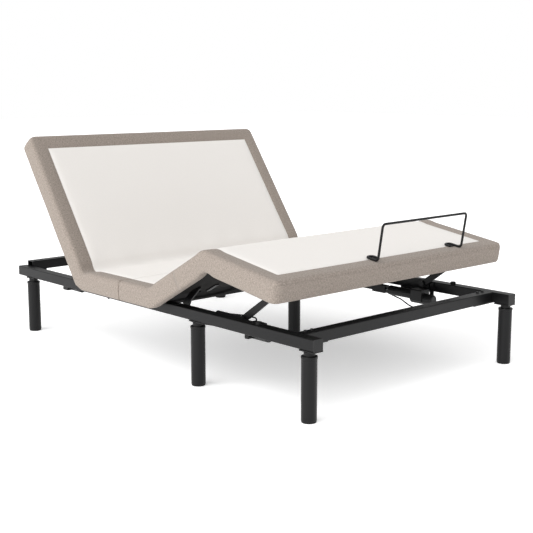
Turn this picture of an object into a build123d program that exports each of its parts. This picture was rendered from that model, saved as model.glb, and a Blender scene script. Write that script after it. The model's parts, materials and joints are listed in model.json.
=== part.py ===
"""Adjustable bed base: a steel undercarriage on cylindrical legs that carries an
upholstered deck of hinged sections. The model is drawn in the raised position.

Frame: +X towards the foot end, -X towards the head end, +Y across the bed, +Z up.
The origin is on the floor, midway along the side rails. Millimetres.
"""
from build123d import *
from math import cos, pi, radians, sin, tan
import os

os.makedirs("parts", exist_ok=True)

# ---- driving dimensions -------------------------------------------------------
DECK_WIDTH = 1372.0          # full-XL width
DECK_TOP = 380.0             # height of the flat deck surface
DECK_THICK = 86.0            # depth of the upholstered side
HEAD_LENGTH = 732.0
SEAT_LENGTH = 512.0
THIGH_LENGTH = 405.0
FOOT_LENGTH = 422.0
SEAT_SEAM_X = -62.0          # split between the two seat panels
HEAD_HINGE_X = -364.5
THIGH_HINGE_X = HEAD_HINGE_X + SEAT_LENGTH
HINGE_DEPTH = 20.0           # hinge lines lie this far under the deck surface
HINGE_Z = DECK_TOP - HINGE_DEPTH
HEAD_ANGLE = 55.0            # raised position
THIGH_ANGLE = 29.0
HEAD_MAX = 60.0              # top of the travel
THIGH_MAX = 36.0
FOOT_FALL = 9.0 / 29.0       # foot section falls this much per degree of thigh rise
FOOT_ANGLE = THIGH_ANGLE * FOOT_FALL

RAIL_HALF_LENGTH = 1040.0
RAIL_OUTER_Y = 616.0
RAIL_WIDTH = 48.0
RAIL_HEIGHT = 45.0
RAIL_TOP = 312.0
TUBE_WALL = 2.5
RAIL_INNER_Y = RAIL_OUTER_Y - RAIL_WIDTH
RAIL_MID_Y = RAIL_OUTER_Y - RAIL_WIDTH / 2
RAIL_BOTTOM = RAIL_TOP - RAIL_HEIGHT
CAP_THICK = 4.0

CROSS_RAILS = {              # name: (low x, bottom z)
    "cross_rail_head": (-1033.0, 289.5),
    "cross_rail_mid": (2.0, RAIL_BOTTOM),
    "cross_rail_foot": (907.0, RAIL_BOTTOM),
}

LEG_RADIUS = 29.5
LEG_Y = 600.0
LEG_PLACES = [               # three legs under the near rail, two far, one inner
    (1003.0, -LEG_Y), (367.5, -LEG_Y), (-927.5, -LEG_Y),
    (1003.0, LEG_Y), (-927.5, LEG_Y), (26.0, 268.0),
]
PAD_HEIGHT = 6.0
RING_Z = 247.0               # top of the collar ring
PLATE_THICK = 5.0

ACTUATOR_Y = 500.0
ACTUATOR_Z = 255.0
LEVER_DROP = HINGE_Z - ACTUATOR_Z
PIN_RADIUS = 5.0
SLOT_CLEARANCE = 2.5
ROD_SHORT = 24.0             # room behind the rod in its tube, for the last of the travel

ARM_PIVOT = (585.0, 300.5)
ARM_LENGTH = 230.0
ARM_FLAT_ANGLE = -5.07
ARM_RATIO = 1.38
ARM_Y = 550.0
ROLLER_RADIUS = 20.0
ROLLER_DEPTH = 80.0          # roller centre under the foot section's hinge line

BOARD_TOP = -25.0            # heights over a section's hinge line
BOARD_BOTTOM = -37.0
SLAB_BOTTOM = -24.0
RIM_BOTTOM = HINGE_DEPTH - DECK_THICK
RIM_WIDTH = 40.0
BOARD_START = 30.0
HINGE_YS = (-400.0, 0.0, 400.0)
KNUCKLE_RADIUS = 9.0
HINGE_PIN_RADIUS = 4.5

BAR_RADIUS = 5.0             # mattress retainer bar
BAR_LOW_Y = -120.0
BAR_HIGH_Y = 410.0
BAR_HEIGHT = 150.0
BAR_S = 396.0                # along the foot section from the knee
BAR_FOOT_REACH = 62.0
BAR_FOOT_WIDTH = 36.0

BOX_LOW_X = -150.0           # control box
BOX_TOP = 300.0
BOX_SIZE = (140.0, 210.0, 44.0)
INLET_Y = 40.0
INLET_SIZE = (8.0, 36.0, 28.0)

SIDES = {"near": -1.0, "far": 1.0}


# ---- planes -------------------------------------------------------------------
def section_plane(hinge_x, hinge_z, angle, towards_head=False):
    """Plane of a section: local x runs along it from its hinge, local y is its
    upward normal, and the origin is on the hinge line at mid-width."""
    a = radians(angle)
    if towards_head:
        return Plane(origin=(hinge_x, 0, hinge_z), x_dir=(-cos(a), 0, sin(a)), z_dir=(0, 1, 0))
    return Plane(origin=(hinge_x, 0, hinge_z), x_dir=(cos(a), 0, sin(a)), z_dir=(0, -1, 0))


def at_y(plane, y):
    """The same plane moved across the bed to y."""
    origin = plane.origin + Vector(0, y, 0)
    return Plane(origin=origin, x_dir=plane.x_dir, z_dir=plane.z_dir)


HEAD = section_plane(HEAD_HINGE_X, HINGE_Z, HEAD_ANGLE, towards_head=True)
SEAT_HEAD = section_plane(HEAD_HINGE_X, HINGE_Z, 0)
SEAT_FOOT = section_plane(THIGH_HINGE_X, HINGE_Z, 0, towards_head=True)
THIGH = section_plane(THIGH_HINGE_X, HINGE_Z, THIGH_ANGLE)
KNEE_X = THIGH_HINGE_X + THIGH_LENGTH * cos(radians(THIGH_ANGLE))
KNEE_Z = HINGE_Z + THIGH_LENGTH * sin(radians(THIGH_ANGLE))
FOOT = section_plane(KNEE_X, KNEE_Z, -FOOT_ANGLE)
THIGH_END = Plane(origin=(KNEE_X, 0, KNEE_Z), x_dir=-THIGH.x_dir, z_dir=(0, 1, 0))
SIDE_VIEW = Plane.XZ


def save(part, name):
    """Label one finished sub-part and write its STEP file."""
    part.label = name
    export_step(part, f"parts/{name}.step")


def square_tube(low, size, axis, wall=TUBE_WALL):
    """Hollow rectangular tube from its low corner, open at both ends."""
    across = [i for i in range(3) if i != axis]
    inner_low = list(low)
    inner_size = list(size)
    for i in across:
        inner_low[i] += wall
        inner_size[i] -= 2 * wall
    with BuildPart() as tube:
        with Locations(tuple(l + s / 2 for l, s in zip(low, size))):
            Box(*size)
        with Locations(tuple(l + s / 2 for l, s in zip(inner_low, inner_size))):
            Box(*inner_size, mode=Mode.SUBTRACT)
        long_edges = tube.edges().filter_by([Axis.X, Axis.Y, Axis.Z][axis])
        outer = [e for e in long_edges if all(
            abs(abs(tuple(e.center())[i] - low[i] - size[i] / 2) - size[i] / 2) < 0.01
            for i in across)]
        fillet(outer, radius=3.0)
    return tube.part


# ---- undercarriage ------------------------------------------------------------
def make_side_rails():
    length = 2 * (RAIL_HALF_LENGTH - CAP_THICK)
    for name, side in SIDES.items():
        low_y = RAIL_INNER_Y if side > 0 else -RAIL_OUTER_Y
        low = (-length / 2, low_y, RAIL_BOTTOM)
        save(square_tube(low, (length, RAIL_WIDTH, RAIL_HEIGHT), 0), f"side_rail_{name}")


def make_cross_rails():
    for name, (low_x, low_z) in CROSS_RAILS.items():
        low = (low_x, -RAIL_INNER_Y, low_z)
        size = (RAIL_WIDTH, 2 * RAIL_INNER_Y, RAIL_HEIGHT)
        save(square_tube(low, size, 1), name)


def make_end_caps():
    """Moulded caps: a flange over the tube end and a plug inside it."""
    plug = 2 * TUBE_WALL + 0.6
    centre_z = (RAIL_TOP + RAIL_BOTTOM) / 2
    with BuildPart() as caps:
        for end in (-1, 1):
            for side in (-1, 1):
                centre_y = side * RAIL_MID_Y
                with BuildSketch(Plane.YZ.offset(end * (RAIL_HALF_LENGTH - CAP_THICK / 2))):
                    with Locations((centre_y, centre_z)):
                        RectangleRounded(RAIL_WIDTH, RAIL_HEIGHT, 3)
                extrude(amount=CAP_THICK / 2, both=True)
                with Locations((end * (RAIL_HALF_LENGTH - CAP_THICK - 9), centre_y, centre_z)):
                    Box(18, RAIL_WIDTH - plug, RAIL_HEIGHT - plug)
    save(caps.part, "rail_end_caps")


def make_corner_gussets():
    """Triangular plates under the corners where a cross rail meets a side rail."""
    reach_x, reach_y, thick = 85.0, 120.0, 4.0
    head_x = CROSS_RAILS["cross_rail_head"][0]
    foot_x = CROSS_RAILS["cross_rail_foot"][0]
    corners = [(foot_x, -1), (head_x + RAIL_WIDTH, 1)]
    with BuildPart() as gussets:
        for edge_x, inward in corners:
            for side in (-1, 1):
                y0 = side * (RAIL_INNER_Y + 20)
                y1 = side * (RAIL_INNER_Y - reach_y)
                y2 = side * (RAIL_INNER_Y - 3)
                bottom = RAIL_BOTTOM - thick
                with BuildSketch(Plane.XY.offset(bottom)):
                    with BuildLine():
                        Polyline((edge_x - inward * 42, y0), (edge_x + inward * 5, y0),
                                 (edge_x + inward * 5, y2), (edge_x + inward * reach_x, y2),
                                 (edge_x + inward * reach_x, side * (RAIL_INNER_Y - 12)),
                                 (edge_x, y1), (edge_x - inward * 42, y1), close=True)
                    make_face()
                extrude(amount=thick)
    save(gussets.part, "corner_gussets")


def make_head_rail_spacers():
    """Blocks that carry the raised head cross rail on its two gussets."""
    low_x, low_z = CROSS_RAILS["cross_rail_head"]
    height = low_z - RAIL_BOTTOM
    with BuildPart() as spacers:
        for side in (-1, 1):
            with Locations((low_x + RAIL_WIDTH / 2, side * (RAIL_INNER_Y - 45), RAIL_BOTTOM + height / 2)):
                Box(RAIL_WIDTH - 8, 70, height)
    save(spacers.part, "head_rail_spacers")


def make_frame_bolts():
    """Bolts through the cross rails and the gussets under them: round heads, but
    countersunk under the head cushion, which lies close when flat."""
    with BuildPart() as bolts:
        for name, (low_x, low_z) in CROSS_RAILS.items():
            top = low_z + RAIL_HEIGHT
            height = 1.2 if name == "cross_rail_head" else 5.0
            x = low_x + RAIL_WIDTH / 2 - (10 if name == "cross_rail_foot" else 0)
            for side in (-1, 1):
                for inset in (28.0, 62.0):
                    with BuildSketch(Plane.XY.offset(top)):
                        with Locations((x, side * (RAIL_INNER_Y - inset))):
                            Circle(7.5)
                    extrude(amount=height, taper=20)
    save(bolts.part, "cross_rail_bolts")


def make_legs():
    """Cylindrical legs, each a painted tube, a collar ring, a stud, a plate and a
    rubber foot. The stud screws into the plate under the rail."""
    tube_top = RING_Z - 10.0
    with BuildPart() as feet:
        for x, y in LEG_PLACES:
            with BuildSketch(Plane.XY):
                with Locations((x, y)):
                    Circle(LEG_RADIUS - 1.5)
            extrude(amount=PAD_HEIGHT)
        fillet(feet.edges().group_by(Axis.Z)[0], radius=2.0)
    save(feet.part, "leg_feet")
    with BuildPart() as tubes:
        for x, y in LEG_PLACES:
            with BuildSketch(Plane.XY.offset(PAD_HEIGHT)):
                with Locations((x, y)):
                    Circle(LEG_RADIUS)
            extrude(amount=tube_top - PAD_HEIGHT)
        fillet(tubes.edges().group_by(Axis.Z)[0], radius=1.5)
    save(tubes.part, "leg_tubes")
    with BuildPart() as collars:
        for x, y in LEG_PLACES:
            with BuildSketch(Plane.XY.offset(tube_top)):
                with Locations((x, y)):
                    Circle(LEG_RADIUS + 1.5)
            extrude(amount=RING_Z - tube_top)
        fillet(collars.edges().filter_by(GeomType.CIRCLE), radius=2.0)
    save(collars.part, "leg_collars")
    with BuildPart() as necks:
        for x, y in LEG_PLACES:
            with BuildSketch(Plane.XY.offset(RING_Z)):
                with Locations((x, y)):
                    Circle(21.0)
            extrude(amount=RAIL_BOTTOM - PLATE_THICK - RING_Z)
    save(necks.part, "leg_studs")
    with BuildPart() as plates:
        for x, y in LEG_PLACES:
            on_rail = abs(y) > RAIL_INNER_Y
            length = 72.0
            tail = 100.0 if (x, y) == LEG_PLACES[1] else length / 2
            centre_y = (y - 8 if y > 0 else y + 8) if on_rail else y
            half = 26.0
            with BuildSketch(Plane.XY.offset(RAIL_BOTTOM - PLATE_THICK)):
                with BuildLine():
                    Polyline((x - length / 2, centre_y - half), (x + length / 2, centre_y - half),
                             (x + tail, centre_y - half / 4), (x + tail, centre_y + half / 4),
                             (x + length / 2, centre_y + half), (x - length / 2, centre_y + half),
                             close=True)
                make_face()
            extrude(amount=PLATE_THICK)
    save(plates.part, "leg_plates")


def make_bumpers():
    """Rubber buttons on the side rails that the lowered head and foot boards rest on."""
    with BuildPart() as bumpers:
        for x in (-560.0, 724.0):
            for side in (-1, 1):
                with Locations((x, side * RAIL_MID_Y, RAIL_TOP)):
                    Cylinder(12.0, 10.5, align=(Align.CENTER, Align.CENTER, Align.MIN))
    save(bumpers.part, "rest_bumpers")


# ---- upholstered deck -----------------------------------------------------------
def hinge_pockets(plane, depth=BOARD_START):
    """Blocks to cut from the underside of a cushion's end, for the knuckles."""
    with BuildPart() as pockets:
        for y in HINGE_YS:
            with BuildSketch(at_y(plane, y)):
                with Locations((depth / 2 - 1, (RIM_BOTTOM + 12) / 2)):
                    Rectangle(depth + 2, 12 - RIM_BOTTOM)
            extrude(amount=37, both=True)
    return pockets.part


def side_rims(plane, outline):
    """Two deep edges of the upholstery, outside the side rails."""
    with BuildPart() as rims:
        for side in (-1, 1):
            with BuildSketch(at_y(plane, side * (DECK_WIDTH - RIM_WIDTH) / 2)):
                with BuildLine():
                    Polyline(*outline, close=True)
                make_face()
            extrude(amount=RIM_WIDTH / 2, both=True)
    return rims.part


def make_end_section(name, plane, length, top_cut, low_cut, end_rim):
    """Cushion of the head or foot section. The cuts at the hinge end leave room
    for the fold; end_rim is (width, bottom height) of the lip at the free end."""
    gap = 0.4
    slab = [(gap, 0), (top_cut, HINGE_DEPTH), (length, HINGE_DEPTH), (length, SLAB_BOTTOM),
            (gap - low_cut * SLAB_BOTTOM, SLAB_BOTTOM)]
    rim = [(gap, 0), (length, 0), (length, RIM_BOTTOM), (gap - low_cut * RIM_BOTTOM, RIM_BOTTOM)]
    with BuildPart() as pad:
        with BuildSketch(plane):
            with BuildLine():
                Polyline(*slab, close=True)
            make_face()
        extrude(amount=DECK_WIDTH / 2, both=True)
        add(side_rims(plane, rim))
        width, bottom = end_rim
        with BuildSketch(plane):
            with Locations((length - width / 2, bottom / 2)):
                Rectangle(width, -bottom)
        extrude(amount=DECK_WIDTH / 2, both=True)
        add(hinge_pockets(plane), mode=Mode.SUBTRACT)
    save(pad.part, f"{name}_cushion")


def make_thigh_cushion():
    gap, cut = 0.4, tan(radians(THIGH_MAX * (1 + FOOT_FALL) / 2)) * 1.04
    top_cut = 8.5
    end = THIGH_LENGTH - gap
    slab = [(gap, 0), (top_cut, HINGE_DEPTH), (end, HINGE_DEPTH), (end, 0),
            (end + cut * SLAB_BOTTOM, SLAB_BOTTOM), (gap, SLAB_BOTTOM)]
    rim = [(gap, 0), (end, 0), (end + cut * RIM_BOTTOM, RIM_BOTTOM), (gap, RIM_BOTTOM)]
    with BuildPart() as pad:
        with BuildSketch(THIGH):
            with BuildLine():
                Polyline(*slab, close=True)
            make_face()
        extrude(amount=DECK_WIDTH / 2, both=True)
        add(side_rims(THIGH, rim))
        add(hinge_pockets(THIGH), mode=Mode.SUBTRACT)
        add(hinge_pockets(THIGH_END), mode=Mode.SUBTRACT)
    save(pad.part, "thigh_cushion")


def make_seat_cushion(name, plane, length, top_cut):
    gap = 0.4
    slab = [(gap, 0), (top_cut, HINGE_DEPTH), (length - 0.5, HINGE_DEPTH),
            (length - 0.5, SLAB_BOTTOM), (gap, SLAB_BOTTOM)]
    rim = [(gap, 0), (length - 0.5, 0), (length - 0.5, RIM_BOTTOM), (gap, RIM_BOTTOM)]
    with BuildPart() as pad:
        with BuildSketch(plane):
            with BuildLine():
                Polyline(*slab, close=True)
            make_face()
        extrude(amount=DECK_WIDTH / 2, both=True)
        add(side_rims(plane, rim))
        add(hinge_pockets(plane), mode=Mode.SUBTRACT)
    save(pad.part, name)


def make_cushions():
    knee_cut = tan(radians(THIGH_MAX * (1 + FOOT_FALL) / 2)) * 1.04
    head_top_cut = HINGE_DEPTH * tan(radians(HEAD_MAX / 2)) + 2
    make_end_section("head", HEAD, HEAD_LENGTH, head_top_cut, 0, (34.0, RIM_BOTTOM))
    make_end_section("foot", FOOT, FOOT_LENGTH, 0.4, knee_cut, (RIM_WIDTH, -46.0))
    make_thigh_cushion()
    make_seat_cushion("seat_cushion_head_half", SEAT_HEAD, SEAT_SEAM_X - HEAD_HINGE_X, head_top_cut)
    make_seat_cushion("seat_cushion_foot_half", SEAT_FOOT, THIGH_HINGE_X - SEAT_SEAM_X, 8.5)


def make_board(name, plane, start, end):
    """Plywood deck board under a cushion, between the deep side edges."""
    with BuildPart() as board:
        with BuildSketch(plane):
            with Locations(((start + end) / 2, (BOARD_TOP + BOARD_BOTTOM) / 2)):
                Rectangle(end - start, BOARD_TOP - BOARD_BOTTOM)
        extrude(amount=DECK_WIDTH / 2 - RIM_WIDTH - 2, both=True)
    save(board.part, name)


def make_boards():
    make_board("head_board", HEAD, BOARD_START, 612)
    make_board("seat_board_head_half", SEAT_HEAD, BOARD_START, SEAT_SEAM_X - HEAD_HINGE_X - 4)
    make_board("seat_board_foot_half", SEAT_FOOT, BOARD_START, THIGH_HINGE_X - SEAT_SEAM_X - 4)
    make_board("thigh_board", THIGH, BOARD_START, THIGH_LENGTH - BOARD_START)
    make_board("foot_board", FOOT, BOARD_START, FOOT_LENGTH - RIM_WIDTH - 3)


def make_seat_supports():
    """Steel risers that bolt the seat boards to the side rails."""
    height = HINGE_Z + BOARD_BOTTOM - RAIL_TOP
    with BuildPart() as risers:
        for x in (-290.0, -120.0, -10.0, 80.0):
            for side in (-1, 1):
                with Locations((x, side * RAIL_MID_Y, RAIL_TOP)):
                    Box(50, 40, height, align=(Align.CENTER, Align.CENTER, Align.MIN))
    save(risers.part, "seat_risers")


# ---- deck hinges ----------------------------------------------------------------


def hinge_leaf(plane, y, low, high):
    """Knuckle from low to high across the bed, with a web down to a flange that
    screws under the board."""
    mid = at_y(plane, y + (low + high) / 2)
    half = (high - low) / 2
    with BuildPart() as leaf:
        with BuildSketch(mid):
            Circle(KNUCKLE_RADIUS)
            with Locations((14, 0)):
                Rectangle(28, 6)
            with Locations((25, (BOARD_BOTTOM - 5 + 3) / 2)):
                Rectangle(6, 3 - BOARD_BOTTOM + 5)
            with Locations((58, BOARD_BOTTOM - 2.5)):
                Rectangle(72, 5)
            Circle(HINGE_PIN_RADIUS + 0.08, mode=Mode.SUBTRACT)
        extrude(amount=half, both=True)
    return leaf.part


def make_leaves(name, outer_planes, inner_planes):
    """Leaves screwed to one section: pairs of outer knuckles on the hinge lines
    where it holds the pins, single middle knuckles where it turns on them."""
    with BuildPart() as leaves:
        for y in HINGE_YS:
            for plane in outer_planes:
                add(hinge_leaf(plane, y, -30, -10.5))
                add(hinge_leaf(plane, y, 10.5, 30))
            for plane in inner_planes:
                add(hinge_leaf(plane, y, -10, 10))
    save(leaves.part, name)


def make_hinge_pins(name, planes):
    with BuildPart() as pins:
        for plane in planes:
            for y in HINGE_YS:
                with BuildSketch(at_y(plane, y)):
                    Circle(HINGE_PIN_RADIUS)
                extrude(amount=32, both=True)
    save(pins.part, name)


# ---- actuators and their levers ---------------------------------------------------
def lever_outline(mid_angle, reach):
    """Corner points of a drop lever, in its section's plane. It hangs straight
    down at the middle of the travel."""
    a = radians(mid_angle)
    ux, uy = -sin(a), -cos(a)
    tip = (ux * reach, uy * reach)
    side = (-uy * 17, ux * 17)
    return [(34, BOARD_BOTTOM), (104, BOARD_BOTTOM), (104, BOARD_BOTTOM - 10),
            (20, BOARD_BOTTOM - 32), (ux * 84 + side[0], uy * 84 + side[1]),
            (tip[0] + side[0], tip[1] + side[1]), (tip[0] - side[0], tip[1] - side[1]),
            (ux * 62 - side[0], uy * 62 - side[1])]


def make_levers(name, plane, mid_angle, rest_angle):
    """Slotted plates under a section. The actuator's pin pulls in the slot."""
    near_end = LEVER_DROP - 4
    far_end = LEVER_DROP / cos(radians(rest_angle - mid_angle + 7)) + 6
    reach = far_end + 14
    with BuildPart() as levers:
        for side in (-1, 1):
            with BuildSketch(at_y(plane, side * ACTUATOR_Y)):
                with BuildLine():
                    Polyline(*lever_outline(mid_angle, reach), close=True)
                make_face()
                a = radians(mid_angle)
                middle = (near_end + far_end) / 2
                with Locations(Location((-sin(a) * middle, -cos(a) * middle), 90 - mid_angle)):
                    SlotOverall(far_end - near_end + 2 * PIN_RADIUS, 2 * (PIN_RADIUS + SLOT_CLEARANCE),
                                mode=Mode.SUBTRACT)
            extrude(amount=4, both=True)
    save(levers.part, name)


def x_box(low, high, y, half_y, low_z, high_z):
    """Box given by its x range, its middle y and half width, and its z range."""
    with BuildPart() as block:
        with Locations(((low + high) / 2, y, (low_z + high_z) / 2)):
            Box(abs(high - low), 2 * half_y, high_z - low_z)
    return block.part


def x_rod(low, high, y, z, radius):
    """Round bar along X."""
    with BuildPart() as rod:
        with BuildSketch(Plane.YZ.offset(min(low, high))):
            with Locations((y, z)):
                Circle(radius)
        extrude(amount=abs(high - low))
    return rod.part


def y_rod(x, low, high, z, radius):
    """Round bar along Y."""
    with BuildPart() as rod:
        with BuildSketch(Plane.XZ.offset(-high)):
            with Locations((x, z)):
                Circle(radius)
        extrude(amount=high - low)
    return rod.part


class Actuator:
    """Places along one pair of linear actuators. The ranges are distances from
    the pin; towards is +1 when the motor is on the foot side of the pin."""

    def __init__(self, name, towards, pin_x, block, tube, gear, motor, strap):
        self.name, self.towards, self.pin_x = name, towards, pin_x
        self.block, self.tube, self.gear = block, tube, gear
        self.motor, self.strap = motor, strap

    def span(self, low, high):
        return self.pin_x + self.towards * low, self.pin_x + self.towards * high


HEAD_PIN_X = HEAD_HINGE_X - LEVER_DROP * tan(radians(HEAD_ANGLE / 2))
FOOT_PIN_X = THIGH_HINGE_X + LEVER_DROP * tan(radians(THIGH_ANGLE / 2))
ACTUATORS = [
    Actuator("head_actuator", -1, HEAD_PIN_X, (46, 66), (84, 234), (230, 292), (222, 342), (246, 286)),
    Actuator("foot_actuator", 1, FOOT_PIN_X, (159, 237), (257, 407), (403, 465), (395, 515), (441, 461)),
]


def make_actuator_rod(a, side_name):
    """Pulling rod: a cross pin in a fork, a block and the bright rod."""
    y = SIDES[side_name] * ACTUATOR_Y
    z = ACTUATOR_Z
    with BuildPart() as rod:
        add(y_rod(a.pin_x, y - 16, y + 16, z, PIN_RADIUS))
        for cheek in (-13.0, 13.0):
            low, high = a.span(-12, a.block[0] + 6)
            add(x_box(low, high, y + cheek, 3, z - 10, z + 10))
        low, high = a.span(*a.block)
        add(x_box(low, high, y, 17, z - 17, z + 17))
        low, high = a.span(a.block[1], a.tube[1] - ROD_SHORT)
        add(x_rod(low, high, y, z, 8.0))
    save(rod.part, f"{a.name}_rod_{side_name}")


def actuator_tube(a, y):
    """Outer tube that the rod slides into."""
    big_first = 0 if a.towards > 0 else -1
    with BuildPart() as body:
        low, high = a.span(*a.tube)
        add(x_rod(low, high, y, ACTUATOR_Z, 22.0))
        fillet(body.edges().filter_by(GeomType.CIRCLE).sort_by(Axis.X)[big_first], radius=2.5)
        low, high = a.span(a.tube[0] - 4, a.tube[1] - 3)
        add(x_rod(low, high, y, ACTUATOR_Z, 8.05), mode=Mode.SUBTRACT)
    return body.part


def actuator_motor(a, y):
    """Gearbox round the end of the tube, with a round-nosed motor under it."""
    z = ACTUATOR_Z
    with BuildPart() as gearbox:
        low, high = a.span(*a.gear)
        add(x_box(low, high, y, 29, z - 24, z + 30))
        fillet(gearbox.edges().filter_by(Axis.X), radius=6.0)
        low, high = a.span(*a.motor)
        add(x_rod(low, high, y, z - 12, 25.0))
        ends = gearbox.edges().filter_by(GeomType.CIRCLE).filter_by(lambda e: e.radius > 20)
        fillet(ends.sort_by(Axis.X)[-1 if a.towards > 0 else 0], radius=9.0)
        low, high = a.span(a.motor[0] - 5, a.tube[1])
        add(x_rod(low, high, y, z, 22.0), mode=Mode.SUBTRACT)
    return gearbox.part


def motor_bracket(a, side):
    """Bent plate: bolted to the rail's inner face and to the side of the gearbox."""
    wall = side * (RAIL_INNER_Y - 3)
    inner = side * (ACTUATOR_Y + 29)
    low, high = a.span(*a.strap)
    bottom = ACTUATOR_Z - 21
    with BuildPart() as bracket:
        add(x_box(low, high, wall, 3, bottom, RAIL_TOP - 3))
        add(x_box(low, high, (wall + inner) / 2, abs(wall - inner) / 2, bottom, bottom + 6))
        add(x_box(low, high, inner + side * 3, 3, bottom, bottom + 22))
    return bracket.part


def make_actuators():
    for a in ACTUATORS:
        for side_name in SIDES:
            make_actuator_rod(a, side_name)
    with BuildPart() as tubes:
        for a in ACTUATORS:
            for side in SIDES.values():
                add(actuator_tube(a, side * ACTUATOR_Y))
    save(tubes.part, "actuator_tubes")
    with BuildPart() as motors:
        for a in ACTUATORS:
            for side in SIDES.values():
                add(actuator_motor(a, side * ACTUATOR_Y))
    save(motors.part, "actuator_motors")
    with BuildPart() as brackets:
        for a in ACTUATORS:
            for side in SIDES.values():
                add(motor_bracket(a, side))
    save(brackets.part, "motor_brackets")


# ---- foot support arms --------------------------------------------------------------
def make_support_arms():
    """Two arms on the rails' inner faces, joined by an axle that carries rollers
    under the foot section."""
    angle = radians(ARM_FLAT_ANGLE + ARM_RATIO * THIGH_ANGLE)
    px, pz = ARM_PIVOT
    tip_x = px + ARM_LENGTH * cos(angle)
    tip_z = pz + ARM_LENGTH * sin(angle)
    arm_plane = Plane(origin=(px, 0, pz), x_dir=(cos(angle), 0, sin(angle)), z_dir=(0, -1, 0))
    with BuildPart() as arms:
        for side in (-1, 1):
            with BuildSketch(at_y(arm_plane, side * ARM_Y)):
                with BuildLine():
                    Polyline((-12, -12), (40, -15), (ARM_LENGTH - 30, -12), (ARM_LENGTH, -11),
                             (ARM_LENGTH + 11, 0), (ARM_LENGTH, 11), (60, 14), (0, 13), (-13, 6),
                             close=True)
                make_face()
                Circle(8.08, mode=Mode.SUBTRACT)
            extrude(amount=4, both=True)
        add(y_rod(tip_x, -ARM_Y, ARM_Y, tip_z, 9.0))
    save(arms.part, "foot_support_arms")
    for name, side in SIDES.items():
        with BuildPart() as roller:
            inner, outer = sorted((side * 514, side * 542))
            add(y_rod(tip_x, inner, outer, tip_z, ROLLER_RADIUS))
            fillet(roller.edges().filter_by(GeomType.CIRCLE), radius=2.0)
            add(y_rod(tip_x, inner - 1, outer + 1, tip_z, 9.08), mode=Mode.SUBTRACT)
        save(roller.part, f"foot_roller_{name}")
    with BuildPart() as brackets:
        for side in (-1, 1):
            with BuildSketch(at_y(SIDE_VIEW, side * (RAIL_INNER_Y - 3))):
                with Locations((px - 58, RAIL_TOP - 25)):
                    RectangleRounded(168, 62, 10)
            extrude(amount=3, both=True)
    save(brackets.part, "arm_brackets")
    with BuildPart() as pins:
        for side in (-1, 1):
            low, high = sorted((side * 541, side * (RAIL_INNER_Y - 6)))
            add(y_rod(px, low, high, pz, 8.0))
            low, high = sorted((side * 538, side * 545.4))
            add(y_rod(px, low, high, pz, 12.0))
    save(pins.part, "arm_pivot_pins")


def make_wear_strips():
    """Channels under the foot board that the rollers run along."""
    top = BOARD_BOTTOM
    bottom = -(ROLLER_DEPTH - ROLLER_RADIUS - 0.9)
    with BuildPart() as strips:
        for side in (-1, 1):
            with BuildSketch(at_y(FOOT, side * 528)):
                with Locations((282, (top + bottom) / 2)):
                    Rectangle(112, top - bottom)
            extrude(amount=16, both=True)
    save(strips.part, "roller_strips")


# ---- mattress retainer bar -----------------------------------------------------------
def make_retainer_bar():
    """Bent rod: a tall hoop across the foot end whose two feet are flat loops."""
    deck = Plane(origin=FOOT.origin + FOOT.y_dir * (HINGE_DEPTH + BAR_RADIUS + 1.2),
                 x_dir=FOOT.x_dir, z_dir=FOOT.y_dir)
    with BuildPart() as bar:
        s0, s1 = BAR_S, BAR_S - BAR_FOOT_REACH

        def at(s, y, height=0.0):
            return deck.origin + deck.x_dir * s + Vector(0, y, 0) + deck.z_dir * height

        points = [
            at(s0 - 30, BAR_LOW_Y + BAR_FOOT_WIDTH), at(s1, BAR_LOW_Y + BAR_FOOT_WIDTH),
            at(s1, BAR_LOW_Y), at(s0, BAR_LOW_Y), at(s0, BAR_LOW_Y, BAR_HEIGHT),
            at(s0, BAR_HIGH_Y, BAR_HEIGHT), at(s0, BAR_HIGH_Y), at(s1, BAR_HIGH_Y),
            at(s1, BAR_HIGH_Y - BAR_FOOT_WIDTH), at(s0 - 30, BAR_HIGH_Y - BAR_FOOT_WIDTH),
        ]
        with BuildLine():
            route = FilletPolyline(*points, radius=14)
        with BuildSketch(Plane(origin=route @ 0, z_dir=route % 0)):
            Circle(BAR_RADIUS)
        sweep(path=route)
    save(bar.part, "retainer_bar")
    with BuildPart() as clips:
        for y, inner in ((BAR_LOW_Y, 1), (BAR_HIGH_Y, -1)):
            clip_plane = Plane(origin=FOOT.origin + FOOT.y_dir * HINGE_DEPTH + FOOT.x_dir * (s1 + 22)
                               + Vector(0, y + inner * BAR_FOOT_WIDTH / 2, 0),
                               x_dir=FOOT.x_dir, z_dir=FOOT.y_dir)
            with BuildSketch(clip_plane):
                RectangleRounded(16, BAR_FOOT_WIDTH - 2 * BAR_RADIUS - 4, 3)
            extrude(amount=4)
    save(clips.part, "retainer_clips")


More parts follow.
